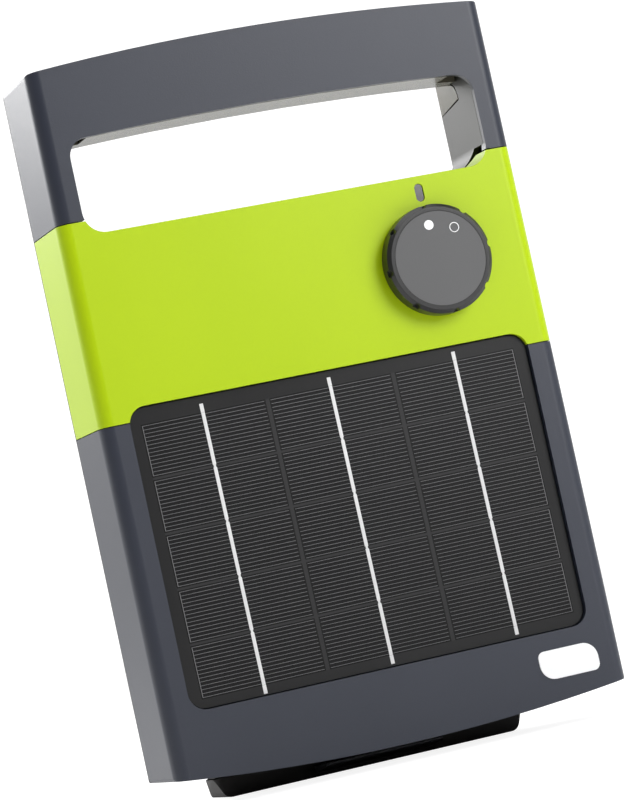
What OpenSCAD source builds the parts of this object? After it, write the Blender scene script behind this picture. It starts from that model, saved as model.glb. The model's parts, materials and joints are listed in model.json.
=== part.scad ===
// Solar fence energizer in a carry-handle housing.
// X runs to the right, Y to the rear and Z up. The origin is at the middle of
// the bounding box, on the ground that the foot stands on. The front faces -Y.
// A depth, named ..._d, is measured rearward from the housing's front face.

/* [Housing] */
// Width of the housing
body_w = 186.4; // [184:0.2:188]
// Height of the middle of the arched top edge
body_top = 289.3; // [288:0.1:290]
// Height of the middle of the arched bottom edge
body_low = 7.1; // [6.8:0.1:7.4]
// Rise of the top edge from its ends to its middle
top_rise = 4.6; // [4:0.1:5.5]
// Drop of the bottom edge from its ends to its middle
low_drop = 5.6; // [5:0.1:6]
// Radius of the outline's four corners
corner_r = 1.6; // [1.4:0.1:2]
// Radius of the upright front edges
edge_r = 5.5; // [4:0.5:6]
// Wall thickness of the mouldings
wall = 2.5; // [2.4:0.1:2.6]
// Depth of the housing's side
side_d = 45; // [44.5:0.5:45.5]
// Overall depth, from the knob's face to the post rail
overall_d = 114; // [114:1:118]

/* [Handle] */
// Half the width of the handle opening
grip_half = 82.9; // [82:0.1:83.2]
// Height of the opening's bottom edge
grip_low = 220.5; // [220:0.1:221]
// Height of the middle of the opening's top edge
grip_top = 259.4; // [259:0.1:259.8]
// Rise of the opening's top edge from its ends to its middle
grip_rise = 2.5; // [2:0.1:3]
// Radius under the bar, where the fingers close
grip_r = 21; // [19:0.5:22]

/* [Colour band] */
// Lower seam of the band
band_low = 147.5; // [147:0.1:148]
// Upper seam of the band
band_top = 226.2; // [226:0.1:226.5]
// Thickness of the band
band_t = 2; // [1.8:0.1:2.1]
// Width of each seam
seam = 0.35; // [0.3:0.05:0.45]

/* [Solar panel] */
// Width of the recess that the panel lies in
recess_w = 164; // [163:0.5:165]
// Lower edge of the recess
recess_low = 36.6; // [36.2:0.1:37]
// Upper edge of the recess
recess_top = 153.2; // [152.8:0.1:153.4]
// Radius of the recess's corners
recess_r = 7; // [6:0.5:8]
// Depth of the panel's face under the housing's face
panel_d = 2; // [1.8:0.1:2.3]
// Width of the field of cells
cells_w = 154; // [152:1:155]
// Height of the field of cells
cells_h = 105.8; // [105:0.1:106]
// Distance from one collector ribbon to the next
ribbon_pitch = 52; // [51:0.5:53]

/* [Knob] */
// Knob centre, to the right of the middle
knob_x = 51.3; // [51:0.1:52]
// Knob centre, above the ground
knob_z = 186.6; // [186:0.1:187]
// Outer radius of the knob
knob_r = 21.5; // [21:0.1:22]
// How far the knob stands out of the housing
knob_h = 8; // [7.5:0.1:8]
// Radius of the cap set into the knob's face
cap_r = 18.5; // [18:0.1:18.8]
// Radius of the spindle
spindle_r = 3; // [3:0.1:3.2]

/* [Base] */
// Half the width of the foot, at its top
foot_half = 65.5; // [65:0.5:67]
// Depth of the foot's front face
foot_d = 49.5; // [49:0.5:50.5]
// Height of the foot
foot_h = 8; // [7.8:0.1:8.2]

/* [Post rail] */
// Width of the slot that takes a T-post's flange
slot_w = 39; // [38:0.5:40]
// Depth of that slot
slot_deep = 11; // [10.5:0.5:11]
// Width of the throat that the post's web passes
throat_w = 20; // [18:1:22]

/* [Terminals] */
// Distance from the middle to each terminal
term_x = 45; // [44:0.5:46]
// Height of the terminals
term_z = 178; // [176:1:180]
// Radius of the terminal studs
stud_r = 3; // [3:0.1:3.2]

/* [Hidden] */

EPS = 0.01;
FIT = 0.05;                     // radial clearance of a running fit
BIG = 400;                      // reaches past the whole object
ROUND = 64;                     // facets named on true circles
half_w = body_w / 2;
front_y = knob_h - overall_d / 2;
rail_d = overall_d - knob_h;    // depth of the rail's rear face
cover_edge_d = 4.2;             // how far ahead of the rear face the shells part
opening_r = 6;                  // rounding of the handle opening's rear edges
shell_gap = 0.2;                // between shells that are screwed together
slate = "#4a4e56";
lime = "#c6e000";
coal = "#2c2d30";
board_d = 27;                   // front face of the circuit board
board_t = 1.6;
board_half = 70;
sink_x = 20;                    // middle of the thyristor and its heat sink
board_low = 108;
board_top = 215.5;
bulge_low = 9;                  // underside of the rear shell's bulge
block_d = 92.5;                 // depth of the battery block's rear face
upper_d = 78;                   // depth of the electronics bay's rear face
bay_top = 208;                  // top of the electronics bay
rail_half = slot_w / 2 + 5;
rail_lip = 3;                   // thickness of the lips that hold the post's flange
slot_d = rail_d - rail_lip - slot_deep;
slot_floor_d = slot_d - wall;
slot_top = 190;                 // the post's end stops here
battery_w = 102;
battery_l = 47;
battery_h = 70;
battery_d = 42;
battery_z = 14;
lead_r = 1.2;
screw_x = 80;
screw_zs = [24, 92, 158, 206];
bar_screw_x = 68;
bar_screw_z = 273;
bar_boss_d = 36;
screw_r = 1.5;
boss_r = 4.2;                   // bosses that take the housing's screws
foot_screw_xs = [-56, 56];
foot_screw_d = 66;
foot_boss_r = 3.6;
foot_boss_h = 16;
lead_z = 142;                   // height at which the panel's leads pass the front shell
mark_angle = -8;                // the ON dot's turn from upright
knob_boss_r = 7;                // boss behind the face that carries the spindle
face_t = 9;                     // depth of that boss
ring_d = 7.2;                   // depth of the spindle's sealing ring
lens_x = 51.5;
lens_low = 210.5;
lens_high = 217.4;
lens_r = 1.65;
badge_sink = 0.4;               // depth of the badge's seat
cells_z = 94.1;                 // height of the middle of the cell field
cells_skew = -0.5;              // the cells lie a little askew in their laminate
thread_lift = 0.3;              // height of the washer over its seat when tight
seat_d = upper_d + 5;           // face of the coloured seat under each washer
washer_t = 1.2;

// ---------- plane geometry ----------

function fy(d) = front_y + d;

// Points of an arc. The ends can be left out where a neighbour repeats them.
function arc(cx, cy, r, a0, a1, n, skip = 0) =
    [for (i = [skip:n - skip]) let (a = a0 + (a1 - a0) * i / n) [cx + r * cos(a), cy + r * sin(a)]];

function arch_r(half, rise) = (half * half + rise * rise) / (2 * rise);
function arch_z(x, top, r) = top - r + sqrt(r * r - x * x);

// Front view of the housing, drawn in by an inset.
function outline(inset) =
    let (rt = arch_r(half_w, top_rise), rb = arch_r(half_w, low_drop),
         zt = body_top - rt, zb = body_low + rb,
         cr = max(corner_r - inset, 1), x = half_w - inset - cr,
         tz = zt + sqrt(pow(rt - inset - cr, 2) - x * x),
         bz = zb - sqrt(pow(rb - inset - cr, 2) - x * x),
         at = atan2(tz - zt, x), ab = atan2(zb - bz, x))
    concat(arc(x, tz, cr, 0, at, 6),
           arc(0, zt, rt - inset, at, 180 - at, 28, 1),
           arc(-x, tz, cr, 180 - at, 180, 6),
           arc(-x, bz, cr, 180, 180 + ab, 6),
           arc(0, zb, rb - inset, 180 + ab, 360 - ab, 28, 1),
           arc(x, bz, cr, 360 - ab, 360, 6));

// Front view of the handle opening, drawn out by a growth.
function opening(grow) =
    let (rt = arch_r(grip_half, grip_rise) + grow, zt = grip_top - rt + grow,
         half = grip_half + grow, cl = 8.5 + grow, cu = 7.5 + grow, x = half - cu,
         tz = zt + sqrt(pow(rt - cu, 2) - x * x), at = atan2(tz - zt, x), low = grip_low - grow)
    concat(arc(x, tz, cu, 0, at, 8),
           arc(0, zt, rt, at, 180 - at, 28, 1),
           arc(-x, tz, cu, 180 - at, 180, 8),
           arc(cl - half, low + cl, cl, 180, 270, 8),
           arc(half - cl, low + cl, cl, 270, 360, 8));

// The same opening with straight sides that run up past the bar.
function tall_opening(grow) =
    let (half = grip_half + grow, cl = 8.5 + grow, low = grip_low - grow)
    concat([[half, BIG], [-half, BIG]],
           arc(cl - half, low + cl, cl, 180, 270, 8),
           arc(half - cl, low + cl, cl, 270, 360, 8));

// A rectangle with round corners, between two corners of its box.
function panel_shape(x0, z0, x1, z1, r) =
    concat(arc(x1 - r, z1 - r, r, 0, 90, 8), arc(x0 + r, z1 - r, r, 90, 180, 8),
           arc(x0 + r, z0 + r, r, 180, 270, 8), arc(x1 - r, z0 + r, r, 270, 360, 8));

// Plan of the bulge behind the housing, which narrows to the rear.
function bulge_plan(inset, rear) =
    let (r = 9 - inset, w0 = foot_half + 2 - inset, w1 = 59 - inset, y1 = fy(rear) - inset)
    concat([[-w0, fy(0)], [w0, fy(0)], [w0, fy(62)]],
           arc(w1 - r, y1 - r, r, 15, 90, 8), arc(r - w1, y1 - r, r, 90, 165, 8),
           [[-w0, fy(62)]]);

// ---------- solids from plane shapes ----------

module from_front(d0, d1) {
    translate([0, fy(d1), 0]) rotate([90, 0, 0]) linear_extrude(d1 - d0) children();
}

module from_above(z0, z1) {
    translate([0, 0, z0]) linear_extrude(z1 - z0) children();
}

module from_side(x0, x1) {
    translate([x0, 0, 0]) rotate([90, 0, 90]) linear_extrude(x1 - x0) children();
}

// Everything ahead of a plane that lies a little ahead of the housing's rear face.
module ahead_of_rear(by) {
    translate([-BIG / 2, fy(side_d - by) - BIG, -BIG / 8]) cube([BIG, BIG, BIG]);
}

// A round rod along Y, from one depth to another.
module rod(x, z, d0, d1, r, fn = ROUND) {
    translate([x, fy(d1), z]) rotate([90, 0, 0]) cylinder(h = d1 - d0, r = r, $fn = fn);
}

// A round tube along Y.
module tube(x, z, d0, d1, r_out, r_in) {
    difference() {
        rod(x, z, d0, d1, r_out);
        rod(x, z, d0 - 1, d1 + 1, r_in);
    }
}

// A block given by the centre of its front face.
module block(x, d, z, w, deep, h) {
    translate([x - w / 2, fy(d), z]) cube([w, deep, h]);
}

// A pan-head screw whose head faces the rear: length is measured under the head.
module screw(x, z, head_d, length, r = screw_r) {
    difference() {
        union() {
            rod(x, z, head_d, head_d + 1.8, 2 * r);
            rod(x, z, head_d - length, head_d + EPS, r);
        }
        translate([x, fy(head_d + 1.8) - 1, z]) rotate([-90, 0, 0]) cross_slot(r);
    }
}

module cross_slot(r) {
    for (a = [0, 90]) rotate([0, 0, a]) translate([-1.3 * r, -0.25 * r, 0]) cube([2.6 * r, 0.5 * r, 3]);
}

// ---------- housing ----------

// The housing's full form, drawn in by an inset, before its back is cut.
module body_form(inset) {
    edge = max(edge_r - inset, 1.2);
    half = half_w - inset;
    intersection() {
        from_front(inset, 70) polygon(outline(inset));
        from_above(-10, BIG) polygon(concat(
            [[half, fy(80)], [-half, fy(80)]],
            arc(edge - half, fy(inset) + edge, edge, 180, 270, 8),
            arc(half - edge, fy(inset) + edge, edge, 270, 360, 8)));
    }
}

module band_zone(grow) {
    translate([-BIG / 2, -BIG / 2, band_low - grow])
        cube([BIG, BIG, band_top - band_low + 2 * grow]);
}

// The recess that the panel lies in.
module panel_well(grow, d0, d1) {
    from_front(d0, d1) polygon(panel_shape(-recess_w / 2 - grow, recess_low - grow,
                                           recess_w / 2 + grow, recess_top + grow, recess_r + grow));
}

// Space of the band's flange round the lower corners of the handle opening.
// Its rear edge runs down and back from the upper seam.
module band_return(grow) {
    intersection() {
        from_front(-1, 40) polygon(opening(band_t + grow));
        from_side(-BIG / 2, BIG / 2) polygon([
            [fy(-5), grip_low - 5], [fy(24 + grow), grip_low - 5], [fy(24 + grow), grip_low + 0.5],
            [fy(19 + grow), grip_low + 2.4], [fy(10.5 + grow), band_top + grow],
            [fy(-5), band_top + grow]]);
    }
}

module front_shell() {
    well_back = panel_d + 6.6;
    color(slate) difference() {
        union() {
            difference() {
                union() {
                    difference() {
                        body_form(0);
                        band_zone(0);
                    }
                    intersection() {
                        body_form(band_t + 0.1);
                        band_zone(EPS);
                    }
                }
                front_cavity();
            }
            intersection() {
                body_form(wall);
                panel_well(wall, wall - 1, well_back);
            }
            intersection() {
                union() {
                    for (x = [-screw_x, screw_x], z = screw_zs) rod(x, z, wall - 0.5, 60, boss_r);
                    for (x = [-bar_screw_x, bar_screw_x])
                        rod(x, bar_screw_z, wall - 0.5, bar_boss_d, boss_r);
                }
                ahead_of_rear(cover_edge_d + shell_gap);
            }
            rod(knob_x, knob_z, wall, face_t, knob_boss_r);
        }
        behind_parting();
        panel_well(0, -1, panel_d + 4.1);
        from_front(-1, wall + 2) polygon(opening(0));
        band_return(shell_gap);
        for (x = [-screw_x, screw_x], z = screw_zs) rod(x, z, side_d - 18, 70, screw_r + FIT);
        for (x = [-bar_screw_x, bar_screw_x])
            rod(x, bar_screw_z, side_d - 18, 70, screw_r + FIT);
        rod(knob_x, knob_z, -1, 12, spindle_r + FIT);
        tube(knob_x, knob_z, ring_d - 0.8, ring_d + 0.8, spindle_r + 1.6, spindle_r - 1);
        lens_form(0.1, -1, 8);
        from_front(-1, badge_sink) badge_shape(0.1);
        rod(0, lead_z, 3, 12, 3);
    }
}

// Cuts away all that lies behind the plane where the shells part.
module behind_parting() {
    translate([-BIG / 2, fy(side_d - cover_edge_d), -BIG / 8]) cube([BIG, BIG, BIG]);
}

// The hollow in the front shell: plain behind the face, with the band's seat left in.
module front_cavity() {
    seat = band_t + wall;
    difference() {
        body_form(wall);
        difference() {
            band_zone(wall);
            body_form(seat);
        }
    }
}

module colour_band() {
    color(lime) difference() {
        union() {
            intersection() {
                difference() {
                    body_form(0);
                    body_form(band_t);
                }
                band_zone(-seam);
                ahead_of_rear(cover_edge_d);
            }
            intersection() {
                band_return(0);
                band_zone(-seam);
                body_form(0);
            }
        }
        from_front(-1, 50) polygon(opening(0));
        panel_well(0, -1, 20);
        rod(knob_x, knob_z, -1, 12, spindle_r + 1.5);
        lens_form(0.1, -1, 8);
    }
}

// Shell of the bulge: battery block below, electronics bay above.
module bulge(inset) {
    top = bay_top - inset;
    intersection() {
        from_above(bulge_low + inset, top) polygon(bulge_plan(inset, block_d));
        from_side(-BIG / 2, BIG / 2) polygon(concat(
            [[fy(30), bulge_low - 1], [fy(block_d) - inset, bulge_low - 1]],
            arc(fy(block_d) - inset - 6, 96 - inset - 6, 6, 0, 50, 5),
            arc(fy(upper_d) - inset + 4, 116, 4, 220, 180, 4),
            arc(fy(upper_d) - inset - 10, top - 10, 10, 0, 90, 8),
            [[fy(30), top]]));
    }
}

// The spine behind the bulge, with a slot for the flange of a T-post.
module post_rail() {
    from_above(bulge_low + 3, bay_top + 2) polygon(concat(
        [[-rail_half, fy(55)], [rail_half, fy(55)]],
        arc(rail_half - 3, fy(rail_d) - 3, 3, 0, 90, 5),
        arc(3 - rail_half, fy(rail_d) - 3, 3, 90, 180, 5)));
}

module post_slot() {
    block(0, slot_d, -5, slot_w, slot_deep, slot_top + 5);
    block(0, slot_d + 1, -5, throat_w, 40, slot_top + 5);
    // keyhole for a screw in a wooden post
    rod(0, slot_top + 8, rail_d - 9, rail_d + 1, 5);
    block(0, rail_d - 9, slot_top + 8, 5.5, 10, 10);
    block(0, rail_d - 9, slot_top + 8, 10, 6, 10);
}

// Lug of the handle's back, seen from the side, let into the wall of the opening.
// It runs to the rear face, and its front is rounded above and pointed below.
function lug_shape(grow) =
    let (r = 7, y = fy(18.8) + r, z = grip_low + 29.5, back = fy(side_d + 5),
         run = back - y, a0 = grow > 0 ? 183 : 178, low = grow / 3)
    concat([[back, z - 4.4 - low]], arc(y, z, r + grow, a0, 90, 8), [[back, z + r + 0.2 * run + grow]]);

module rear_shell() {
    color(coal) difference() {
        union() {
            rear_plate();
            difference() {
                union() {
                    bulge(0);
                    post_rail();
                }
                ahead_of_rear(cover_edge_d - shell_gap);
            }
            lining();
            // seats for the terminals
            for (x = [-term_x, term_x]) rod(x, term_z, upper_d - wall, upper_d + 2, 11);
            // bosses for the foot's screws
            foot_posts(bulge_low, foot_boss_h, foot_boss_r);
        }
        difference() {
            union() {
                bulge(wall);
                block(0, 60, 100, 2 * (rail_half - wall), slot_floor_d - 60, bay_top - wall - 100);
            }
            block(0, slot_floor_d, 0, 2 * rail_half, 40, bay_top);
            foot_posts(bulge_low, foot_boss_h, foot_boss_r);
        }
        post_slot();
        foot_posts(0, 21, screw_r + FIT);
        for (x = [-screw_x, screw_x], z = screw_zs) screw_seat(x, z);
        for (x = [-term_x, term_x]) rod(x, term_z, 60, 90, stud_r + FIT);
        // the opening of the handle, its sides rounded towards the rear
        from_front(-10, 120) polygon(tall_opening(0));
        side_rounding();
        from_side(-grip_half - 1, grip_half + 1)
            translate([fy(side_d), grip_low]) rotate(-90) edge_cutter(opening_r);
        lug_slab(grip_half - 1, grip_half + wall + 0.1, 0.9);
    }
}

// Round posts standing where the foot is screwed on.
module foot_posts(z, h, r) {
    for (x = foot_screw_xs) translate([x, fy(foot_screw_d), z]) cylinder(h = h, r = r, $fn = ROUND);
}

// The lug's shape on both sides, between two distances from the middle.
module lug_slab(x0, x1, grow) {
    from_side(x0, x1) polygon(lug_shape(grow));
    from_side(-x1, -x0) polygon(lug_shape(grow));
}

// Rounds the rear edges at both sides of the handle opening.
module side_rounding() {
    for (s = [-1, 1]) translate([s * grip_half, fy(side_d), grip_low - 3])
        linear_extrude(grip_top + 20 - grip_low) mirror([s < 0 ? 1 : 0, 0]) edge_cutter(opening_r);
}

// Rounds an edge that stands at the origin, with the solid at +X and -Y.
module edge_cutter(r) {
    polygon(concat([[-1, 1], [-1, -r]], arc(r, -r, r, 180, 90, 8), [[r, 1]]));
}

module screw_seat(x, z) {
    rod(x, z, 20, 80, screw_r + FIT);
    rod(x, z, side_d - 2.2, 80, 3.4);
}

// The plate behind the front shell, with its upright edges rounded.
module rear_plate() {
    r = 4;
    intersection() {
        from_front(0, 70) polygon(outline(0));
        translate([0, fy(side_d), -20]) linear_extrude(BIG) polygon(concat(
            [[half_w, shell_gap - cover_edge_d], [half_w, -r]],
            arc(half_w - r, -r, r, 0, 90, 6, 1), arc(r - half_w, -r, r, 90, 180, 6, 1),
            [[-half_w, -r], [-half_w, shell_gap - cover_edge_d]]));
    }
}

// Lining of the handle opening, from just behind the front lip.
module lining() {
    difference() {
        intersection() {
            from_front(wall + 0.3, 50) intersection() {
                polygon(tall_opening(wall));
                polygon(outline(wall + shell_gap));
            }
            ahead_of_rear(1);
        }
        band_return(shell_gap + 2.4);
    }
}

// Rear half of the handle's bar: a channel turned about the centre of the arched top.
module bar_channel() {
    ring_r = arch_r(grip_half, grip_rise);
    rear_y = fy(side_d);
    top = ring_r + body_top + 6 - grip_top;
    round_y = rear_y - grip_r;
    profile = concat([[fy(wall + 0.4), ring_r]],
                     arc(round_y, ring_r + grip_r, grip_r, 270, 360, 10),
                     [[rear_y, top], [rear_y - 4, top]],
                     arc(round_y, ring_r + grip_r, grip_r - wall, 345, 270, 8),
                     [[fy(wall + 0.4), ring_r + wall]]);
    intersection() {
        translate([0, 0, grip_top - ring_r]) rotate([90, 0, 0]) rotate_extrude($fn = 256)
            polygon([for (p = profile) [p[1], -p[0]]]);
        from_front(0, 60) translate([0.3 - grip_half, grip_low]) square([2 * grip_half - 0.6, BIG]);
    }
}

module handle_back() {
    color(coal) difference() {
        intersection() {
            bar_channel();
            union() {
                rear_plate();
                intersection() {
                    from_front(0, 60) polygon(outline(wall + shell_gap));
                    ahead_of_rear(cover_edge_d - shell_gap - EPS);
                }
            }
        }
        for (x = [-bar_screw_x, bar_screw_x]) {
            rod(x, bar_screw_z, 5, bar_boss_d + 0.5, boss_r + 0.4);
            screw_seat(x, bar_screw_z);
        }
        // a gap at each end of the bar shows the fixing behind the front lip
        for (s = [-1, 1]) block(s * (grip_half - 4), wall, grip_top - 8, 9, 14, 12);
    }
    color(coal) intersection() {
        lug_slab(grip_half + 0.1, grip_half + wall, 0);
        difference() {
            ahead_of_rear(0);
            side_rounding();
        }
    }
}

module housing_seal() {
    color("#1c1c1c") intersection() {
        from_front(20, 60) difference() {
            polygon(outline(wall + band_t + 0.2));
            polygon(outline(wall + band_t + 1.8));
            translate([-BIG / 2, grip_low - 6]) square([BIG, BIG]);
        }
        translate([-BIG / 2, fy(side_d - cover_edge_d) + shell_gap - 1.6, -20]) cube([BIG, 1.8, BIG]);
        ahead_of_rear(cover_edge_d - shell_gap);
    }
}

module housing_screws() {
    color("#b9bcc0") {
        for (x = [-screw_x, screw_x], z = screw_zs) screw(x, z, side_d - 2.1, 14);
        for (x = [-bar_screw_x, bar_screw_x]) screw(x, bar_screw_z, side_d - 2.1, 14);
    }
}

// The badge is round at two opposite corners and tighter at the others.
module badge_shape(grow) {
    x0 = 58 - grow;
    x1 = 82.6 + grow;
    z0 = 18.4 - grow;
    z1 = 29.7 + grow;
    wide = 6;
    tight = 2.6;
    polygon(concat(
        arc(x1 - wide, z1 - wide, wide, 0, 90, 8), arc(x0 + tight, z1 - tight, tight, 90, 180, 6),
        arc(x0 + wide, z0 + wide, wide, 180, 270, 8), arc(x1 - tight, z0 + tight, tight, 270, 360, 6)));
}

module badge() {
    color("white") from_front(badge_sink - 0.7, badge_sink) badge_shape(0);
}

// ---------- solar panel ----------

module panel_cover() {
    grow = -0.5;
    color([0.05, 0.05, 0.06, 0.5]) panel_well(grow, panel_d, panel_d + 0.8);
}

// Turns the field of cells about its middle.
module askew() {
    translate([0, 0, cells_z]) rotate([0, cells_skew, 0]) children();
}

module panel_ribbons() {
    half = 56.2;
    color("#dedede") askew() for (i = [-1:1])
        block(i * ribbon_pitch, panel_d + 0.8, -half, 1.5, 0.2, 2 * half);
}

module panel_cells() {
    columns = 3;
    rows = 5;
    gap_x = 1.6;
    gap_z = 0.9;
    w = (cells_w - (columns - 1) * gap_x) / columns;
    h = (cells_h - (rows - 1) * gap_z) / rows;
    color("#1b1c20") askew() for (i = [0:columns - 1], j = [0:rows - 1])
        block((i - 1) * (w + gap_x), panel_d + 1, j * (h + gap_z) - cells_h / 2, w, 0.3, h);
}

module panel_backing() {
    color("#101112") difference() {
        panel_well(-0.5, panel_d + 1.3, panel_d + 3.3);
        for (x = [-4, 4]) rod(x, lead_z, 0, 12, 0.8);
    }
}

module panel_seal() {
    color("#202020") difference() {
        panel_well(-0.5, panel_d + 3.3, panel_d + 4.1);
        panel_well(-5, panel_d, panel_d + 6);
    }
}

module panel_leads() {
    for (x = [-1.5, 1.5]) color(x < 0 ? "black" : "firebrick") {
        rod(x, lead_z, panel_d + 3.4, board_d - 3.1, 0.7);
    }
}

// ---------- knob and switch ----------

module knob_skirt() {
    notches = 8;
    gap = 0.4;
    chamfer = 1.4;
    color("#3c3d40") difference() {
        union() {
            tube(knob_x, knob_z, -knob_h + chamfer, -gap, knob_r, knob_r - 2.2);
            difference() {
                knob_front(chamfer);
                rod(knob_x, knob_z, -knob_h - 1, -knob_h + 1.2, cap_r + 0.2);
            }
            rod(knob_x, knob_z, -knob_h + 2, -gap - 0.4, 6.5);
        }
        rod(knob_x, knob_z, -knob_h + 2.4, 1, spindle_r + EPS);
        for (i = [0:notches - 1]) rotate_about_knob(mark_angle + 1.8 + i * 360 / notches)
            rod(knob_x, knob_z + knob_r + 0.3, -knob_h - 1, -knob_h + 3.8, 1.4);
    }
}

// The knob's front plate, with its edge cut back at a slant.
module knob_front(chamfer) {
    rod(knob_x, knob_z, -knob_h + chamfer - EPS, -knob_h + 3.2, knob_r - 0.5);
    translate([knob_x, fy(-knob_h), knob_z]) rotate([-90, 0, 0])
        cylinder(h = chamfer, r1 = knob_r - chamfer, r2 = knob_r, $fn = ROUND);
}

module rotate_about_knob(angle) {
    translate([knob_x, 0, knob_z]) rotate([0, angle, 0]) translate([-knob_x, 0, -knob_z]) children();
}

module knob_cap() {
    color("#55565a") difference() {
        rod(knob_x, knob_z, -knob_h, -knob_h + 1.2, cap_r);
        for (a = [0, 1]) mark_form(a, 0.02, 0.4);
    }
}

// The ON dot (0) stands straight up from the centre when switched on, the OFF ring (1) beside it.
module mark_form(which, grow, deep) {
    z = knob_z + 13.6;
    d = -knob_h - (grow > 0 ? 1 : 0);
    rotate_about_knob(mark_angle + which * 45) if (which == 0)
        rod(knob_x, z, d, -knob_h + deep, 1.9 + grow);
    else
        tube(knob_x, z, d, -knob_h + deep, 1.98 + grow, 1.68 - grow);
}

module knob_marks() {
    color("white") for (a = [0, 1]) mark_form(a, 0, 0.35);
}

module knob_spindle() {
    color("#c9c9c6") rod(knob_x, knob_z, -knob_h + 2.5, 17, spindle_r);
}

module spindle_ring() {
    color("#161616") translate([knob_x, fy(ring_d), knob_z]) rotate([90, 0, 0])
        rotate_extrude($fn = ROUND) translate([spindle_r + 0.82, 0]) circle(r = 0.75, $fn = 24);
}

module switch_body() {
    color("#26384f") difference() {
        union() {
            block(knob_x, 12, knob_z - 9, 18, board_d - 12.1, 18);
            rod(knob_x, knob_z, 9.3, 12.5, 5);
        }
        rod(knob_x, knob_z, 5, 15.2, spindle_r + FIT);
        rod(knob_x, knob_z, 15.1, 22, 7);
    }
}

module switch_rotor() {
    color("#e0dccb") difference() {
        union() {
            rod(knob_x, knob_z, 15.3, 20, 6.6);
            rotate_about_knob(30) block(knob_x, 17, knob_z, 2, 2.5, 6.7);
        }
        rod(knob_x, knob_z, 15, 17.05, spindle_r);
    }
}

// ---------- status light ----------

// A narrow lens with round ends, standing upright.
module lens_form(grow, d0, d1) {
    z0 = lens_low + lens_r;
    z1 = lens_high - lens_r;
    rod(lens_x, z0, d0, d1, lens_r + grow);
    rod(lens_x, z1, d0, d1, lens_r + grow);
    block(lens_x, d0, z0, 2 * (lens_r + grow), d1 - d0, z1 - z0);
}

module status_lens() {
    color("#6b686c") lens_form(0, 0.6, 20);
}

module status_led() {
    z = 213;
    dome_d = 24;
    r = 2.4;
    color("#b8ffb0") {
        translate([lens_x, fy(dome_d), z]) sphere(r = r, $fn = 32);
        rod(lens_x, z, dome_d, board_d - 0.05, r);
    }
}

// ---------- electronics ----------

module main_board() {
    color("#1f5d35") difference() {
        from_front(board_d, board_d + board_t)
            polygon(panel_shape(-board_half, board_low, board_half, board_top, 3));
        for (x = [-board_half + 5, board_half - 5], z = [board_low + 5, board_top - 18])
            rod(x, z, 20, 40, 1.6);
    }
}

module board_screws() {
    color("#b9bcc0") for (x = [-board_half + 5, board_half - 5], z = [board_low + 5, board_top - 18])
        screw(x, z, board_d + board_t, 10);
}

module storage_capacitor() {
    color("#d8852b") difference() {
        from_front(board_d + board_t + 0.1, board_d + board_t + 26)
            polygon(panel_shape(9, 118, 59, 148, 3));
        block(34, board_d + board_t + 25, 120, 30, 3, 0.6);
    }
}

module transformer_core() {
    d = board_d + board_t + 3;
    color("#4c4a48") difference() {
        block(-32, d, 126, 44, 26, 44);
        for (x = [-43, -21]) block(x, d - 1, 133, 10.5, 28, 30);
    }
}

module transformer_winding() {
    d = board_d + board_t + 0.2;
    color("#b8642c") difference() {
        from_front(d, d + 32) polygon(panel_shape(-48, 133.4, -16, 162.6, 4));
        block(-32, d + 2.7, 130, 11.8, 26.2, 36);
    }
}

module thyristor() {
    d = board_d + board_t;
    pin_pitch = 2.5;
    color("#1d1d1f") block(sink_x, d + 5, 160, 10, 4.5, 15);
    color("#c8c8c8") for (i = [-1:1]) {
        block(sink_x + i * pin_pitch, d + 0.1, 157, 0.8, 7, 0.6);
        block(sink_x + i * pin_pitch, d + 6.5, 157, 0.8, 0.6, 3);
    }
}

module heat_sink() {
    fins = 5;
    fin_pitch = 5.9;
    d = board_d + board_t + 9.6;
    z = 158;
    h = 24;
    color("#a8abb0") {
        block(sink_x, d, z, 26, 2.5, h);
        for (i = [0:fins - 1]) block(sink_x + (i - (fins - 1) / 2) * fin_pitch, d + 2.4, z, 1.6, 10, h);
    }
}

module board_sockets() {
    color("#ece7d6") {
        block(0, board_d - 3, lead_z - 4, 9, 2.95, 8);
        difference() {
            block(0, board_d + board_t + 0.1, 112, 14, 9, 7);
            for (x = [-3.5, 3.5]) block(x, board_d + board_t + 3, 110, 4, 4, 4);
        }
    }
}

// ---------- battery ----------

// Cells of the battery, drawn out by a growth.
module battery_cells(grow) {
    cells = 3;
    pitch = 32.4;
    for (i = [0:cells - 1])
        block((i - (cells - 1) / 2) * pitch, battery_d + 3 - grow, battery_z + 3 - grow,
              30 + 2 * grow, battery_l - 6 + 2 * grow, 60 + 2 * grow);
}

module battery_case() {
    color("#3b3b3e") difference() {
        union() {
            from_above(battery_z, battery_z + battery_h)
                polygon([for (p = panel_shape(-battery_w / 2, 0, battery_w / 2, battery_l, 3))
                         [p[0], p[1] + fy(battery_d)]]);
            block(0, battery_d + 4, battery_z + battery_h - EPS, battery_w - 8, battery_l - 8, 3);
        }
        battery_cells(0.3);
    }
}

module battery_plates() {
    color("#7d8087") battery_cells(0);
}

module battery_tabs() {
    color("#c9ccd0") for (x = [-42, 42])
        block(x, battery_d + 14, battery_z + battery_h + 3, 6.35, 0.8, 7);
}

module battery_leads() {
    tab_x = 42;
    plug_x = 3.5;
    tab_d = battery_d + 13.2;
    plug_d = board_d + board_t + 5;
    low = battery_z + battery_h + 4;
    bend = low + 14.9;
    for (s = [-1, 1]) color(s < 0 ? "black" : "firebrick") {
        block(s * tab_x, tab_d - 0.7, low, 8, 1.4, 7);
        lead_up(s * tab_x, tab_d, low + 6.9, bend);
        lead_bend(s * tab_x, tab_d, bend) rotate([0, -s * 90, 0]) lead_run(tab_x - plug_x);
        lead_bend(s * plug_x, tab_d, bend) rotate([90, 0, 0]) lead_run(tab_d - plug_d);
        lead_bend(s * plug_x, plug_d, bend);
        lead_up(s * plug_x, plug_d, bend, 113.4);
    }
}

module lead_run(length) {
    cylinder(h = length, r = lead_r, $fn = ROUND);
}

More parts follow.
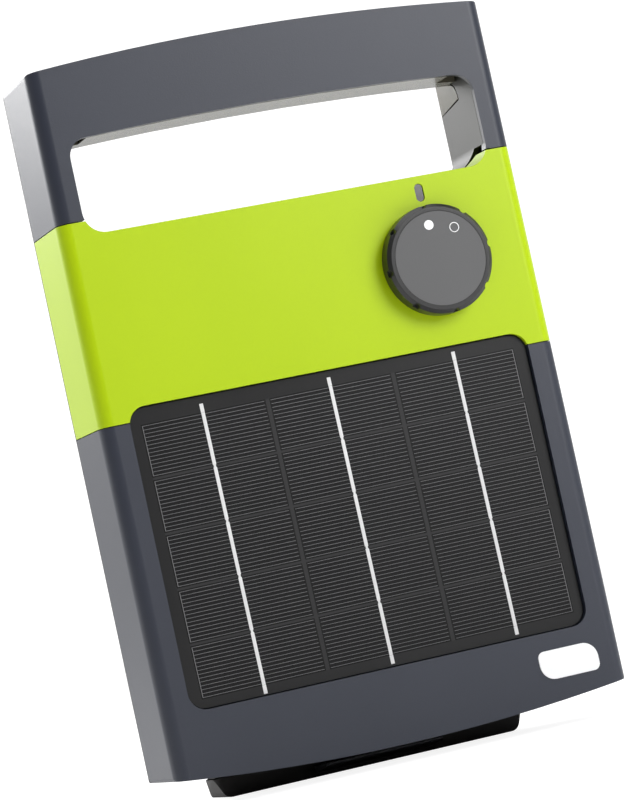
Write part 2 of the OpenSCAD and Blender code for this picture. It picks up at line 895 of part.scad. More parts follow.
module lead_up(x, d, z0, z1) {
    translate([x, fy(d), z0]) lead_run(z1 - z0);
}

// A round bend in a lead, from which its children run on.
module lead_bend(x, d, z) {
    translate([x, fy(d), z]) {
        sphere(r = lead_r, $fn = ROUND);
        children();
    }
}

module battery_pad() {
    z = bulge_low + wall + 0.05;
    color("#57585a") block(0, 56, z, battery_w - 6, battery_d + battery_l - 60, battery_z - 0.05 - z);
}

// ---------- base ----------

// Plan of the foot, drawn in by an inset.
function foot_plan(inset) =
    let (r = max(8 - inset, 1), w0 = foot_half - inset, w1 = 57 - inset,
         y0 = fy(foot_d) + inset, y1 = fy(block_d - 1) - inset)
    concat(arc(w0 - 3, y0 + 3, 3, 270, 360, 5), [[w0, fy(62)]],
           arc(w1 - r, y1 - r, r, 15, 90, 8), arc(r - w1, y1 - r, r, 90, 165, 8),
           [[-w0, fy(62)]], arc(3 - w0, y0 + 3, 3, 180, 270, 5));

// The foot is screwed up into the rear shell and follows the arch under the housing.
module foot() {
    flare = tan(23);
    floor_half = foot_half - foot_h * flare + 1.2;
    r = 4;
    color("#141312") difference() {
        intersection() {
            from_above(0, foot_h) polygon(foot_plan(0));
            from_front(0, 120) polygon(concat(
                [[foot_half + 2 * flare, foot_h + 2], [-foot_half - 2 * flare, foot_h + 2]],
                arc(r - floor_half, r, r, 203, 270, 6), arc(floor_half - r, r, r, 270, 337, 6)));
        }
        for (i = [0:3]) block((i - 1.5) * 25, 59.5, 2.5, 23, 29, foot_h);
        for (x = foot_screw_xs) translate([x, fy(foot_screw_d), -1]) {
            cylinder(h = 20, r = screw_r + FIT, $fn = ROUND);
            cylinder(h = 3.2, r = 3.4, $fn = ROUND);
        }
    }
}

// The tongue that reaches forward from the foot under the housing.
module foot_tongue() {
    half = 24.5;
    root = fy(foot_d - 0.1);
    color("#2e2f32") from_side(-half, half) polygon([
        [root, 1.6], [root, 4.6], [fy(36), 5.4], [fy(33), 5.3], [fy(33), 4.2], [fy(36), 3.6]]);
}

module foot_screws() {
    color("#b9bcc0") for (x = foot_screw_xs) translate([x, fy(foot_screw_d), 0]) difference() {
        union() {
            translate([0, 0, 0.4]) cylinder(h = 1.8, r = 3, $fn = ROUND);
            translate([0, 0, 2.1]) cylinder(h = 16, r = screw_r, $fn = ROUND);
        }
        translate([0, 0, -1.6]) cross_slot(screw_r);
    }
}

// ---------- terminals ----------

function side_x(side) = side * term_x;

module terminal_seat(side) {
    difference() {
        rod(side_x(side), term_z, upper_d + 2.1, seat_d, 10);
        rod(side_x(side), term_z, upper_d, upper_d + 8, stud_r + FIT);
    }
}

module terminal_stud(side) {
    union() {
        rod(side_x(side), term_z, 66, upper_d + 21, stud_r);
        rod(side_x(side), term_z, 66, 68.5, 6);
    }
}

module terminal_nut(side) {
    difference() {
        rod(side_x(side), term_z, 70, upper_d - wall - 0.1, 5.5, 6);
        rod(side_x(side), term_z, 60, 80, stud_r + FIT);
    }
}

module terminal_washer(side) {
    difference() {
        rod(side_x(side), term_z, seat_d + thread_lift, seat_d + washer_t + thread_lift, 8);
        rod(side_x(side), term_z, upper_d, upper_d + 20, stud_r + FIT);
    }
}

module terminal_knob(side) {
    lobes = 8;
    r = 10;
    d0 = seat_d + washer_t + 0.1 + thread_lift;
    d1 = d0 + 17;
    difference() {
        union() {
            rod(side_x(side), term_z, d0, d0 + 2, 7);
            rod(side_x(side), term_z, d0 + 1.9, d1, r);
            translate([side_x(side), fy(d1) - EPS, term_z]) rotate([-90, 0, 0])
                cylinder(h = 1.5, r1 = r, r2 = r - 1.5, $fn = ROUND);
        }
        rod(side_x(side), term_z, 60, d1 - 2, stud_r + FIT);
        for (i = [0:lobes - 1])
            translate([side_x(side), 0, term_z]) rotate([0, i * 360 / lobes, 0])
                translate([0, fy(d1 + 3), r + 1.6]) rotate([90, 0, 0])
                    cylinder(h = 16.5, r = 2.6, $fn = ROUND);
    }
}

module fence_seat() { color("#b3201d") terminal_seat(-1); }
module fence_stud() { color("#b8973f") terminal_stud(-1); }
module fence_nut() { color("#b8973f") terminal_nut(-1); }
module fence_washer() { color("#c4c6c9") terminal_washer(-1); }
module fence_knob() { color("#c0231f") terminal_knob(-1); }
module earth_seat() { color("#146b35") terminal_seat(1); }
module earth_stud() { color("#b8973f") terminal_stud(1); }
module earth_nut() { color("#b8973f") terminal_nut(1); }
module earth_washer() { color("#c4c6c9") terminal_washer(1); }
module earth_knob() { color("#17813f") terminal_knob(1); }

front_shell();
colour_band();
rear_shell();
handle_back();
housing_seal();
housing_screws();
panel_cover();
panel_cells();
panel_ribbons();
panel_backing();
panel_seal();
panel_leads();
knob_skirt();
knob_cap();
knob_marks();
knob_spindle();
spindle_ring();
switch_body();
switch_rotor();
status_lens();
status_led();
main_board();
board_screws();
storage_capacitor();
transformer_core();
transformer_winding();
thyristor();
heat_sink();
board_sockets();
battery_case();
battery_plates();
battery_tabs();
battery_leads();
battery_pad();
foot();
foot_tongue();
foot_screws();
badge();
fence_seat();
fence_stud();
fence_nut();
fence_washer();
fence_knob();
earth_seat();
earth_stud();
earth_nut();
earth_washer();
earth_knob();
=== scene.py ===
import json
import math

import bmesh
import bpy
from mathutils import Matrix, Vector


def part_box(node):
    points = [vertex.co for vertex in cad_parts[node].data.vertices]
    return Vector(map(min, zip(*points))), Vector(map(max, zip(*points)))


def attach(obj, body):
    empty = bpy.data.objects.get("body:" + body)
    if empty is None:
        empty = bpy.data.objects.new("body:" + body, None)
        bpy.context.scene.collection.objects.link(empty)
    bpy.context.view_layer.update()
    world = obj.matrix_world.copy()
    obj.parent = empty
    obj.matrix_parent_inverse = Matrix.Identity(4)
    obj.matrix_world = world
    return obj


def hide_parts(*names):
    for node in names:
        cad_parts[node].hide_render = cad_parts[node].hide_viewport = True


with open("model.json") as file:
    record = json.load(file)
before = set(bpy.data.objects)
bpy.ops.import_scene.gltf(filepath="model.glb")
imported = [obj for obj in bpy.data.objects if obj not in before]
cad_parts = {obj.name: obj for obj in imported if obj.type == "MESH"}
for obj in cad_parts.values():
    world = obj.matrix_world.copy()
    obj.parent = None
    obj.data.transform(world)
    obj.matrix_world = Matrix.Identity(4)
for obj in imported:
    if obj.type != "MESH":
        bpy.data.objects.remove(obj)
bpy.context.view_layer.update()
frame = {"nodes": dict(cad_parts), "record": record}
nodes = frame["nodes"]

MM = 0.001


# ---------------------------------------------------------------- colours

def srgb(red, green, blue):
    """A colour given in display values 0 to 255, as linear light."""
    def linear(v):
        v /= 255
        return v / 12.92 if v <= 0.04045 else ((v + 0.055) / 1.055) ** 2.4
    return (linear(red), linear(green), linear(blue), 1.0)


# ---------------------------------------------------------------- shader groups

def new_group(name, inputs, outputs):
    """An empty shader node group with named sockets: returns it with its input and output nodes."""
    group = bpy.data.node_groups.new(name, "ShaderNodeTree")
    for socket, kind, value in inputs:
        made = group.interface.new_socket(socket, in_out="INPUT", socket_type=kind)
        made.default_value = value
    for socket, kind in outputs:
        group.interface.new_socket(socket, in_out="OUTPUT", socket_type=kind)
    return group, group.nodes.new("NodeGroupInput"), group.nodes.new("NodeGroupOutput")


class Wiring:
    """Short ways to add and join nodes in one node tree."""

    def __init__(self, tree):
        self.tree = tree

    def node(self, kind, **settings):
        made = self.tree.nodes.new(kind)
        for key, value in settings.items():
            setattr(made, key, value)
        return made

    def join(self, source, target):
        self.tree.links.new(source, target)

    def feed(self, node, **values):
        """Sets or links inputs by name, with underscores for spaces."""
        for key, value in values.items():
            socket = node.inputs[key.replace("_", " ")]
            if isinstance(value, bpy.types.NodeSocket):
                self.join(value, socket)
            else:
                socket.default_value = value
        return node

    def math(self, operation, a, b=0.0, c=0.0):
        made = self.node("ShaderNodeMath", operation=operation)
        for socket, value in zip(made.inputs, (a, b, c)):
            if isinstance(value, bpy.types.NodeSocket):
                self.join(value, socket)
            else:
                socket.default_value = value
        return made.outputs[0]

    def noise(self, place, scale, detail=2.0, roughness=0.5):
        made = self.node("ShaderNodeTexNoise")
        self.feed(made, Vector=place, Scale=scale, Detail=detail, Roughness=roughness)
        return made.outputs["Fac"]

    def mix(self, factor, a, b):
        made = self.node("ShaderNodeMix", data_type="RGBA")
        for socket, value in ((made.inputs[0], factor), (made.inputs[6], a), (made.inputs[7], b)):
            if isinstance(value, bpy.types.NodeSocket):
                self.join(value, socket)
            else:
                socket.default_value = value
        return made.outputs[2]

    def object_place(self):
        return self.node("ShaderNodeTexCoord").outputs["Object"]

    def stretched(self, place, scale):
        made = self.node("ShaderNodeMapping")
        self.feed(made, Vector=place, Scale=scale)
        return made.outputs[0]


def moulded_group():
    """Spark-eroded mould texture: a fine pebble, faint flow marks and slow drift of tone and gloss."""
    group, given, out = new_group(
        "moulded_texture",
        [("Colour", "NodeSocketColor", (0.5, 0.5, 0.5, 1)),
         ("Drift Colour", "NodeSocketColor", (0.5, 0.5, 0.5, 1)),
         ("Pebble Scale", "NodeSocketFloat", 1500.0), ("Roughness", "NodeSocketFloat", 0.5),
         ("Roughness Spread", "NodeSocketFloat", 0.08), ("Scuffs", "NodeSocketFloat", 0.05)],
        [("Colour", "NodeSocketColor"), ("Roughness", "NodeSocketFloat"), ("Height", "NodeSocketFloat")])
    w = Wiring(group)
    place = w.object_place()
    pebble = w.noise(place, given.outputs["Pebble Scale"], 2.0, 0.55)
    flow = w.noise(w.stretched(place, (1.0, 1.0, 0.35)), 14.0, 3.0, 0.5)
    scratch = w.noise(w.stretched(place, (1.0, 1.0, 14.0)), 210.0, 3.0, 0.6)
    scuff = w.math("MULTIPLY", w.math("GREATER_THAN", scratch, 0.69), given.outputs["Scuffs"])
    tone = w.math("MULTIPLY", w.math("SUBTRACT", flow, 0.5), 1.6)
    speck = w.math("MULTIPLY", w.math("SUBTRACT", pebble, 0.5), 0.7)
    factor = w.math("ADD", w.math("ADD", tone, speck), 0.5)
    clamped = w.node("ShaderNodeClamp")
    w.feed(clamped, Value=factor)
    w.join(w.mix(clamped.outputs[0], given.outputs["Colour"], given.outputs["Drift Colour"]),
           out.inputs["Colour"])
    spread = w.math("MULTIPLY", w.math("SUBTRACT", flow, 0.5), given.outputs["Roughness Spread"])
    rough = w.math("ADD", w.math("ADD", given.outputs["Roughness"], spread), scuff)
    w.join(rough, out.inputs["Roughness"])
    w.join(w.math("SUBTRACT", pebble, w.math("MULTIPLY", scuff, 2.0)), out.inputs["Height"])
    return group


def brushed_group():
    """Fine lines of machining or drawing along one axis, with a slow change of tone."""
    group, given, out = new_group(
        "brushed_texture",
        [("Colour", "NodeSocketColor", (0.6, 0.6, 0.6, 1)),
         ("Dark Colour", "NodeSocketColor", (0.4, 0.4, 0.4, 1)),
         ("Stretch", "NodeSocketVector", (1.0, 1.0, 0.05)), ("Line Scale", "NodeSocketFloat", 4000.0),
         ("Roughness", "NodeSocketFloat", 0.3), ("Tarnish", "NodeSocketFloat", 0.3)],
        [("Colour", "NodeSocketColor"), ("Roughness", "NodeSocketFloat"), ("Height", "NodeSocketFloat")])
    w = Wiring(group)
    place = w.object_place()
    lines = w.noise(w.stretched(place, given.outputs["Stretch"]), given.outputs["Line Scale"], 3.0, 0.6)
    patch = w.noise(place, 240.0, 3.0, 0.6)
    factor = w.math("ADD", w.math("MULTIPLY", patch, given.outputs["Tarnish"]),
                    w.math("MULTIPLY", lines, 0.25))
    w.join(w.mix(factor, given.outputs["Colour"], given.outputs["Dark Colour"]), out.inputs["Colour"])
    w.join(w.math("ADD", given.outputs["Roughness"], w.math("MULTIPLY", lines, 0.15)),
           out.inputs["Roughness"])
    w.join(lines, out.inputs["Height"])
    return group


MOULDED = moulded_group()
BRUSHED = brushed_group()


# ---------------------------------------------------------------- materials

def new_material(name):
    material = bpy.data.materials.new(name)
    material.use_nodes = True
    tree = material.node_tree
    shader = tree.nodes["Principled BSDF"]
    return material, Wiring(tree), shader


def use_group(w, group, **values):
    made = w.node("ShaderNodeGroup", node_tree=group)
    return w.feed(made, **values)


def bump(w, shader, height, strength, distance):
    made = w.node("ShaderNodeBump")
    w.feed(made, Height=height, Strength=strength, Distance=distance)
    w.join(made.outputs[0], shader.inputs["Normal"])


def plastic(name, colour, drift, roughness, pebble=1500.0, depth=0.03, scuffs=0.04, spread=0.08, coat=0.0,
            specular=0.5):
    """A moulded plastic. depth is the height of its mould texture in millimetres."""
    material, w, shader = new_material(name)
    texture = use_group(w, MOULDED, Colour=colour, Drift_Colour=drift, Pebble_Scale=pebble,
                        Roughness=roughness, Roughness_Spread=spread, Scuffs=scuffs)
    w.join(texture.outputs["Colour"], shader.inputs["Base Color"])
    w.join(texture.outputs["Roughness"], shader.inputs["Roughness"])
    bump(w, shader, texture.outputs["Height"], 0.6, depth * MM)
    shader.inputs["Specular IOR Level"].default_value = specular
    shader.inputs["Coat Weight"].default_value = coat
    shader.inputs["Coat Roughness"].default_value = 0.12
    return material


def metal(name, colour, dark, roughness, stretch=(1.0, 0.05, 1.0), tarnish=0.35, lines=4000.0):
    """A drawn or turned metal, with its lines along the axis that stretch leaves short."""
    material, w, shader = new_material(name)
    texture = use_group(w, BRUSHED, Colour=colour, Dark_Colour=dark, Stretch=stretch, Line_Scale=lines,
                        Roughness=roughness, Tarnish=tarnish)
    w.join(texture.outputs["Colour"], shader.inputs["Base Color"])
    w.join(texture.outputs["Roughness"], shader.inputs["Roughness"])
    bump(w, shader, texture.outputs["Height"], 0.3, 0.01 * MM)
    shader.inputs["Metallic"].default_value = 1.0
    return material


slate = plastic("slate_housing_plastic", srgb(37, 41, 53), srgb(43, 47, 59), 0.42, pebble=1700.0,
                depth=0.035)
lime = plastic("lime_band_plastic", srgb(166, 194, 0), srgb(172, 199, 0), 0.36, pebble=1500.0,
               depth=0.02, scuffs=0.02,
              specular=0.28)
handle_taupe = plastic("handle_lining_plastic", srgb(88, 84, 73), srgb(95, 91, 80), 0.2, pebble=1300.0,
                       depth=0.02)
coal = plastic("black_rear_plastic", srgb(36, 35, 32), srgb(43, 42, 39), 0.5, pebble=1300.0, depth=0.04)
foot_black = plastic("black_foot_plastic", srgb(16, 13, 11), srgb(22, 19, 17), 0.6, pebble=1200.0,
                     depth=0.04)
tongue_grey = plastic("tongue_plastic", srgb(44, 45, 48), srgb(50, 51, 54), 0.5)
knob_grey = plastic("knob_skirt_plastic", srgb(26, 26, 27), srgb(31, 31, 32), 0.28, pebble=1900.0,
                    depth=0.02)
cap_grey = plastic("knob_cap_plastic", srgb(82, 82, 83), srgb(90, 90, 91), 0.62, pebble=2600.0, depth=0.05,
                   scuffs=0.0)
white_print = plastic("white_print", srgb(244, 244, 244), srgb(236, 237, 238), 0.4, depth=0.005, scuffs=0.0)
badge_white = plastic("badge_film", srgb(250, 250, 250), srgb(242, 243, 245), 0.3, depth=0.005,
                      scuffs=0.0, coat=0.3)
# black rubber of the seals; the same material also paints the shade ring in the gap round the knob's cap
rubber_and_shade_black = plastic("seal_rubber_and_painted_shade_black", srgb(24, 24, 25), srgb(32, 32, 33), 0.8, pebble=900.0, depth=0.05)
foam = plastic("battery_foam", srgb(84, 85, 87), srgb(66, 67, 69), 0.95, pebble=520.0, depth=0.4)
smoke = plastic("smoked_lens", srgb(58, 55, 60), srgb(66, 62, 68), 0.16, depth=0.004, scuffs=0.0, coat=0.6)
led_clear = plastic("led_epoxy", srgb(190, 232, 186), srgb(214, 244, 210), 0.12, depth=0.002, scuffs=0.0)
chip_black = plastic("chip_epoxy", srgb(26, 26, 28), srgb(34, 34, 36), 0.55, pebble=2400.0, depth=0.03)
ivory = plastic("socket_nylon", srgb(224, 219, 202), srgb(212, 206, 188), 0.45)
rotor_ivory = plastic("rotor_acetal", srgb(220, 214, 192), srgb(208, 201, 178), 0.35)
switch_blue = plastic("switch_nylon", srgb(34, 54, 84), srgb(42, 62, 92), 0.5)
capacitor_orange = plastic("capacitor_dip", srgb(216, 128, 44), srgb(202, 112, 34), 0.3, pebble=300.0,
                           depth=0.08,
                           coat=0.3)
battery_grey = plastic("battery_case_plastic", srgb(60, 60, 64), srgb(68, 68, 72), 0.5)
wire_red = plastic("wire_insulation", srgb(140, 24, 22), srgb(120, 18, 18), 0.5)
fence_red = plastic("fence_knob_plastic", srgb(150, 20, 18), srgb(138, 16, 14), 0.33, depth=0.015)
earth_green = plastic("earth_knob_plastic", srgb(14, 92, 44), srgb(12, 82, 38), 0.33, depth=0.015)
zinc = metal("zinc_steel", srgb(176, 178, 182), srgb(128, 130, 136), 0.32)
brass = metal("turned_brass", srgb(212, 180, 104), srgb(150, 116, 56), 0.24)
laminations = metal("core_laminations", srgb(96, 92, 88), srgb(48, 44, 42), 0.5, stretch=(1.0, 0.02, 1.0))
copper = metal("copper_turns", srgb(190, 104, 62), srgb(116, 52, 28), 0.32, stretch=(0.05, 1.0, 1.0),
               lines=2200.0)
sink_alloy = metal("heat_sink_alloy", srgb(186, 188, 192), srgb(130, 132, 136), 0.36,
                   stretch=(1.0, 1.0, 0.03))
lead_grey = metal("lead_plate_stack", srgb(120, 124, 130), srgb(70, 72, 78), 0.6, stretch=(1.0, 0.02, 0.02))
ribbon_metal = plastic("ribbon_tinned", srgb(226, 226, 226), srgb(200, 200, 202), 0.35, pebble=2600.0,
                       depth=0.01,
                       scuffs=0.0)
finger_silver = plastic("finger_silver", srgb(128, 128, 130), srgb(104, 104, 106), 0.4, pebble=3200.0,
                        depth=0.005,
                        scuffs=0.0)


def silicon_material():
    """Dark cells: a faint grain and slow shifts of tone under the laminate."""
    material, w, shader = new_material("solar_silicon")
    texture = use_group(w, MOULDED, Colour=srgb(11, 11, 12), Drift_Colour=srgb(16, 16, 17),
                        Pebble_Scale=1100.0,
                        Roughness=0.34, Roughness_Spread=0.05, Scuffs=0.0)
    w.join(texture.outputs["Colour"], shader.inputs["Base Color"])
    w.join(texture.outputs["Roughness"], shader.inputs["Roughness"])
    bump(w, shader, texture.outputs["Height"], 0.5, 0.05 * MM)
    shader.inputs["Specular IOR Level"].default_value = 0.22
    return material


def board_material():
    """Green solder mask with copper tracks under it, drawn as lighter green lines in a brick pattern."""
    material, w, shader = new_material("circuit_board")
    place = w.object_place()
    bricks = w.node("ShaderNodeTexBrick", offset=0.37, squash=1.0)
    turned = w.node("ShaderNodeMapping")
    w.feed(turned, Vector=place, Rotation=(math.pi / 2, 0.0, 0.0))
    w.feed(bricks, Vector=turned.outputs[0], Color1=srgb(26, 92, 50), Color2=srgb(30, 104, 58),
           Mortar=srgb(46, 132, 78), Scale=90.0, Mortar_Size=0.012)
    w.join(bricks.outputs["Color"], shader.inputs["Base Color"])
    bump(w, shader, bricks.outputs["Fac"], 0.4, 0.03 * MM)
    shader.inputs["Roughness"].default_value = 0.3
    return material


silicon = silicon_material()
board_green = board_material()
laminate = plastic("panel_laminate_dark", srgb(25, 25, 26), srgb(30, 30, 31), 0.3, pebble=1250.0,
                   depth=0.012,
                   scuffs=0.0, specular=0.3)
gap_grey = plastic("cell_gap_film", srgb(32, 32, 33), srgb(37, 37, 38), 0.45, pebble=1400.0, depth=0.02,
                   scuffs=0.0,
                   specular=0.3)
backsheet = plastic("black_backsheet", srgb(20, 20, 21), srgb(28, 28, 29), 0.42, pebble=1400.0,
                    depth=0.02, scuffs=0.0)


# ---------------------------------------------------------------- mesh helpers

def set_material(piece, material):
    piece.data.materials.clear()
    piece.data.materials.append(material)


def add_piece(name, mesh, material, body):
    piece = bpy.data.objects.new(name, mesh)
    bpy.context.scene.collection.objects.link(piece)
    set_material(piece, material)
    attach(piece, body)
    return piece


def shade_by_angle(mesh, degrees):
    """Smooth shading, with edges sharper than the angle left crisp."""
    built = bmesh.new()
    built.from_mesh(mesh)
    for face in built.faces:
        face.smooth = True
    limit = math.radians(degrees)
    for edge in built.edges:
        edge.smooth = len(edge.link_faces) == 2 and edge.calc_face_angle(0.0) < limit
    built.to_mesh(mesh)
    built.free()


def rounded_copy(node, name, width, material, body, segments=2, sharp=32.0):
    """A piece that stands for a CAD node: the node's own shape with its sharp edges rounded off."""
    built = bmesh.new()
    built.from_mesh(nodes[node].data)
    bmesh.ops.remove_doubles(built, verts=built.verts[:], dist=0.002 * MM)
    bmesh.ops.dissolve_limit(built, angle_limit=math.radians(0.6), verts=built.verts[:],
                             edges=built.edges[:])
    limit = math.radians(sharp)
    edges = [e for e in built.edges if len(e.link_faces) == 2 and e.calc_face_angle(0.0) > limit]
    bmesh.ops.bevel(built, geom=edges, offset=width, offset_type="OFFSET", segments=segments, profile=0.5,
                    affect="EDGES", clamp_overlap=True, miter_outer="ARC")
    mesh = bpy.data.meshes.new(name)
    built.to_mesh(mesh)
    built.free()
    shade_by_angle(mesh, 40.0)
    piece = add_piece(name, mesh, material, body)
    smooth = piece.modifiers.new("even_shading", "WEIGHTED_NORMAL")
    smooth.keep_sharp = True
    smooth.weight = 100
    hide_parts(node)
    return piece


# ---------------------------------------------------------------- finishes of the carried-over nodes

SLOT_FINISH = {
    "slate_housing": slate, "lime_band": lime, "black_housing": coal, "black_foot": foot_black,
    "knob_grey": knob_grey, "cap_grey": cap_grey, "white_print": white_print, "panel_laminate": laminate,
    "silicon": silicon, "ribbon": ribbon_metal, "backsheet": backsheet, "seal_rubber": rubber_and_shade_black,
    "zinc_steel": zinc, "brass": brass, "smoke_lens": smoke, "led_clear": led_clear,
    "board_green": board_green, "capacitor_case": capacitor_orange, "ferrite": laminations,
    "copper_winding": copper, "chip_black": chip_black, "heat_sink_metal": sink_alloy,
    "socket_ivory": ivory, "switch_blue": switch_blue, "rotor_ivory": rotor_ivory,
    "battery_grey": battery_grey, "lead_plates": lead_grey, "lead_insulation": wire_red, "foam": foam,
    "fence_red": fence_red, "earth_green": earth_green,
}
for row in frame["record"]["subparts"]:
    set_material(nodes[row["node"]], SLOT_FINISH[row["material_slot"]])


# ---------------------------------------------------------------- panel

PANEL_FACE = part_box("panel_cover")[0].y
CELL_SKEW = math.radians(-0.5)
FIELD_MIDDLE_Z = (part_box("panel_cells")[0].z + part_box("panel_cells")[1].z) / 2
COLUMNS = 3
ROWS = 5
COLUMN_GAP = 1.6 * MM
ROW_GAP = 0.9 * MM
FIELD_W = 154.0 * MM
FIELD_H = 105.8 * MM
CELL_W = (FIELD_W - (COLUMNS - 1) * COLUMN_GAP) / COLUMNS
CELL_H = (FIELD_H - (ROWS - 1) * ROW_GAP) / ROWS
RIBBON_PITCH = 52.0 * MM
RIBBON_HALF = 56.2 * MM
RIBBON_W = 1.4 * MM
RIBBON_TAIL_W = 1.5 * MM
RIBBON_BREAK_W = 0.9 * MM
FINGERS = 14
FINGER_PITCH = 1.47 * MM
FINGER_W = 0.13 * MM
END_LINE_W = 0.2 * MM
END_LINE_INSET = 0.62 * MM
FINGER_FACE = -0.055 * MM


def cell_places():
    """Middles of the cells, from the middle of the field."""
    for column in range(COLUMNS):
        for row in range(ROWS):
            yield ((column - 1) * (CELL_W + COLUMN_GAP), (row - (ROWS - 1) / 2) * (CELL_H + ROW_GAP))


def add_tile(built, x, z, width, height, face, back, soft=0.0):
    """A thin plate in the field of cells. face and back are depths from the laminate's face."""
    corners = []
    for depth, inset in ((back, 0.0), (face + soft, 0.0), (face, soft)):
        w, h = width / 2 - inset, height / 2 - inset
        corners.append([built.verts.new((x + i * w, PANEL_FACE + depth, z + j * h))
                        for i, j in ((-1, -1), (1, -1), (1, 1), (-1, 1))])
    for low, high in zip(corners, corners[1:]):
        for k in range(4):
            built.faces.new((low[k], low[(k + 1) % 4], high[(k + 1) % 4], high[k]))
    built.faces.new(corners[-1])
    built.faces.new(reversed(corners[0]))


def field_piece(name, built, material):
    """Turns the finished plates askew about the field's middle and makes them one piece."""
    bmesh.ops.recalc_face_normals(built, faces=built.faces[:])
    mesh = bpy.data.meshes.new(name)
    built.transform(Matrix.Translation((0, 0, FIELD_MIDDLE_Z)) @ Matrix.Rotation(CELL_SKEW, 4, "Y"))
    built.to_mesh(mesh)
    built.free()
    return add_piece(name, mesh, material, "housing")


def make_panel():
    """Cells, the film that shows between them, the printed silver fingers and the tinned ribbons."""
    built = bmesh.new()
    for x, z in cell_places():
        add_tile(built, x, z, CELL_W, CELL_H, -0.04 * MM, 0.2 * MM, 0.02 * MM)
    cells = field_piece("silicon_cells", built, silicon)
    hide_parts("panel_cells")

    built = bmesh.new()
    add_tile(built, 0.0, 0.0, FIELD_W - 0.2 * MM, FIELD_H - 0.2 * MM, -0.01 * MM, 0.15 * MM)
    field_piece("cell_gap_strip", built, gap_grey)

    built = bmesh.new()
    for x, z in cell_places():
        for i in range(FINGERS):
            line_z = z + (i - (FINGERS - 1) / 2) * FINGER_PITCH
            add_tile(built, x, line_z, CELL_W - 1.0 * MM, FINGER_W, FINGER_FACE, 0.0)
    for x, z in cell_places():
        if abs(x) > COLUMN_GAP:
            side = 1 if x > 0 else -1
            end = x + side * (CELL_W / 2 - END_LINE_INSET)
            add_tile(built, end, z, END_LINE_W, (FINGERS - 1) * FINGER_PITCH, FINGER_FACE, 0.0)
    field_piece("silver_fingers", built, finger_silver)

    built = bmesh.new()
    tail = RIBBON_HALF - FIELD_H / 2
    for x in (-RIBBON_PITCH, 0.0, RIBBON_PITCH):
        for row in range(ROWS):
            z = (row - (ROWS - 1) / 2) * (CELL_H + ROW_GAP)
            add_tile(built, x, z, RIBBON_W, CELL_H - 0.1 * MM, -0.13 * MM, 0.0, 0.04 * MM)
            if row < ROWS - 1:
                gap_z = z + (CELL_H + ROW_GAP) / 2
                add_tile(built, x, gap_z, RIBBON_BREAK_W, ROW_GAP + 0.2 * MM, -0.1 * MM, 0.0, 0.04 * MM)
        for end in (-1, 1):
            add_tile(built, x, end * (FIELD_H + tail) / 2, RIBBON_TAIL_W, tail, -0.08 * MM, 0.0, 0.03 * MM)
    ribbons = field_piece("collector_ribbons", built, ribbon_metal)
    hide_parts("panel_ribbons")


# ---------------------------------------------------------------- knob

def make_cap_gap_shade_ring():
    """Painted shade: a thin black ring of round section round the cap, where it drops into the skirt, that
    darkens the gap as its shadow would.
    """
    low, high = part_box("knob_cap")
    middle = (low + high) / 2
    radius = (high.x - low.x) / 2 + 0.08 * MM
    face = low.y + 0.31 * MM
    section = 0.3 * MM
    around, across = 128, 10
    built = bmesh.new()
    rings = []
    for i in range(around):
        turn = 2 * math.pi * i / around
        ring = []
        for j in range(across):
            tilt = 2 * math.pi * j / across
            reach = radius + section * math.cos(tilt)
            ring.append(built.verts.new((middle.x + reach * math.cos(turn), face + section * math.sin(tilt),
                                         middle.z + reach * math.sin(turn))))
        rings.append(ring)
    for i in range(around):
        one, two = rings[i], rings[(i + 1) % around]
        for j in range(across):
            built.faces.new((one[j], one[(j + 1) % across], two[(j + 1) % across], two[j])).smooth = True
    bmesh.ops.recalc_face_normals(built, faces=built.faces[:])
    mesh = bpy.data.meshes.new("knob_cap_painted_shade_ring")
    built.to_mesh(mesh)
    built.free()
    # the ring's black is painted shade in the gap between cap and skirt, not a part of the knob
    add_piece("knob_cap_painted_shade_ring", mesh, rubber_and_shade_black, "knob")


# ---------------------------------------------------------------- camera

def make_camera():
    """Left of the front and a little low, turned about its own axis so that the energizer leans."""
    data = bpy.data.cameras.new("camera")
    data.lens = 157.21
    data.sensor_width = 36.0
    data.clip_end = 50.0
    camera = bpy.data.objects.new("camera", data)
    right = Vector((0.932232, -0.293213, -0.212161))
    up = Vector((0.185475, -0.116362, 0.975738))
    back = right.cross(up)
    place = Matrix((right, up, back)).transposed().to_4x4()
    place.translation = Vector((-0.42433, -1.31680, 0.07054))
    camera.matrix_world = place
    bpy.context.scene.collection.objects.link(camera)
    bpy.context.scene.camera = camera


# ---------------------------------------------------------------- stage and light

def make_floor():
    """A pale matt floor that glows a little towards the camera, so that it meets the backdrop unseen."""
    bpy.ops.mesh.primitive_plane_add(size=14.0, location=(0, 0, 0))
    floor = bpy.context.object
    floor.name = "floor"
    material, w, shader = new_material("pale_floor")
    shader.inputs["Base Color"].default_value = (0.8, 0.8, 0.8, 1)
    shader.inputs["Roughness"].default_value = 0.8
    glow = w.node("ShaderNodeEmission")
    w.feed(glow, Color=(1, 1, 1, 1), Strength=1.35)
    seen = w.math("MULTIPLY", w.node("ShaderNodeLightPath").outputs["Is Camera Ray"], 0.65)
    both = w.node("ShaderNodeMixShader")
    w.join(seen, both.inputs[0])
    w.join(shader.outputs[0], both.inputs[1])
    w.join(glow.outputs[0], both.inputs[2])
    w.join(both.outputs[0], material.node_tree.nodes["Material Output"].inputs["Surface"])
    set_material(floor, material)


def area_light(name, place, target, width, height, power, colour=(1, 1, 1)):
    data = bpy.data.lights.new(name, "AREA")
    data.shape = "RECTANGLE"
    data.size = width
    data.size_y = height
    data.energy = power
    data.color = colour
    light = bpy.data.objects.new(name, data)
    light.visible_camera = False
    light.location = place
    light.rotation_euler = (Vector(target) - Vector(place)).to_track_quat("-Z", "Y").to_euler()
    bpy.context.scene.collection.objects.link(light)


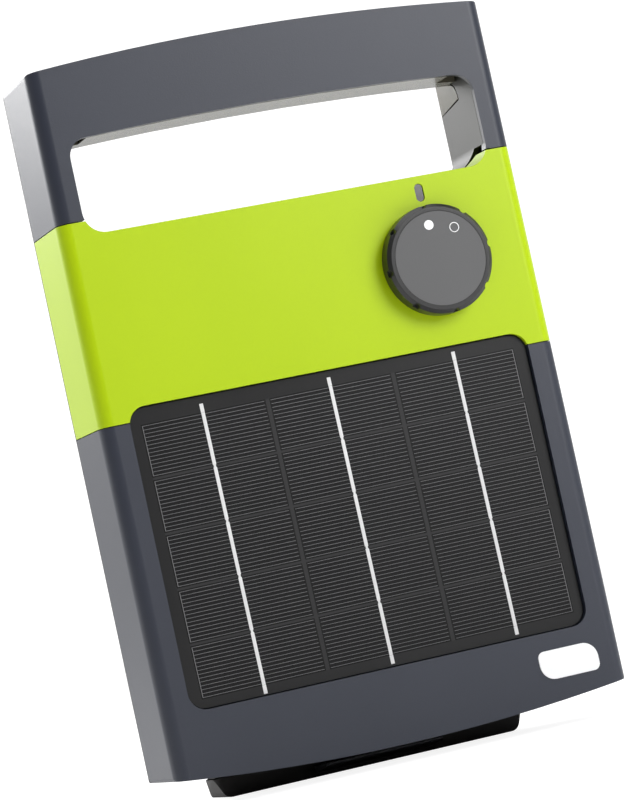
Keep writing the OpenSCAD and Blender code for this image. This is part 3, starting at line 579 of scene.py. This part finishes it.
def make_world():
    """A white backdrop, and a studio that is bright behind the energizer and dimmer in front."""
    world = bpy.data.worlds.new("studio")
    world.use_nodes = True
    w = Wiring(world.node_tree)
    shader = world.node_tree.nodes["Background"]
    direction = w.node("ShaderNodeTexCoord").outputs["Generated"]
    split = w.node("ShaderNodeSeparateXYZ")
    w.join(direction, split.inputs[0])
    ramp = w.node("ShaderNodeMapRange", interpolation_type="SMOOTHSTEP")
    w.feed(ramp, Value=split.outputs["Y"], From_Min=-0.5, From_Max=0.7, To_Min=0.15, To_Max=1.0)
    seen = w.node("ShaderNodeLightPath").outputs["Is Camera Ray"]
    height = w.node("ShaderNodeMapRange", interpolation_type="SMOOTHSTEP")
    w.feed(height, Value=split.outputs["Z"], From_Min=-0.1, From_Max=0.35, To_Min=0.72, To_Max=1.3)
    surround = w.math("MULTIPLY", ramp.outputs["Result"], height.outputs["Result"])
    strength = w.math("MAXIMUM", surround, w.math("MULTIPLY", seen, 1.2))
    w.join(strength, shader.inputs["Strength"])
    shader.inputs["Color"].default_value = (1, 1, 1, 1)
    bpy.context.scene.world = world


make_camera()
make_floor()
make_world()
area_light("key", (0.72, -1.05, 0.72), (0.04, -0.05, 0.2), 0.75, 0.75, 15.0)
area_light("rear_left", (-0.75, 1.3, 0.95), (-0.09, 0.0, 0.2), 0.9, 0.9, 26.0)
area_light("top", (0.0, 0.1, 1.3), (0.0, 0.0, 0.1), 1.2, 1.2, 9.0)
bpy.context.scene.view_settings.view_transform = "Standard"

rounded_copy("front_shell", "front_moulding", 0.5 * MM, slate, "housing")
rounded_copy("colour_band", "lime_fascia", 0.35 * MM, lime, "housing")
rounded_copy("rear_shell", "rear_moulding", 0.4 * MM, coal, "housing")
rounded_copy("handle_back", "handle_back_moulding", 0.3 * MM, handle_taupe, "housing")
rounded_copy("foot", "base_foot", 0.5 * MM, foot_black, "housing")
rounded_copy("foot_tongue", "base_tongue", 0.3 * MM, tongue_grey, "housing")
rounded_copy("knob_skirt", "knob_grip", 0.3 * MM, knob_grey, "knob", segments=3, sharp=24.0)
rounded_copy("knob_cap", "knob_face", 0.15 * MM, cap_grey, "knob")
rounded_copy("badge", "blank_badge", 0.12 * MM, badge_white, "housing")
make_panel()
# adds the black ring of painted shade in the gap round the knob's cap
make_cap_gap_shade_ring()
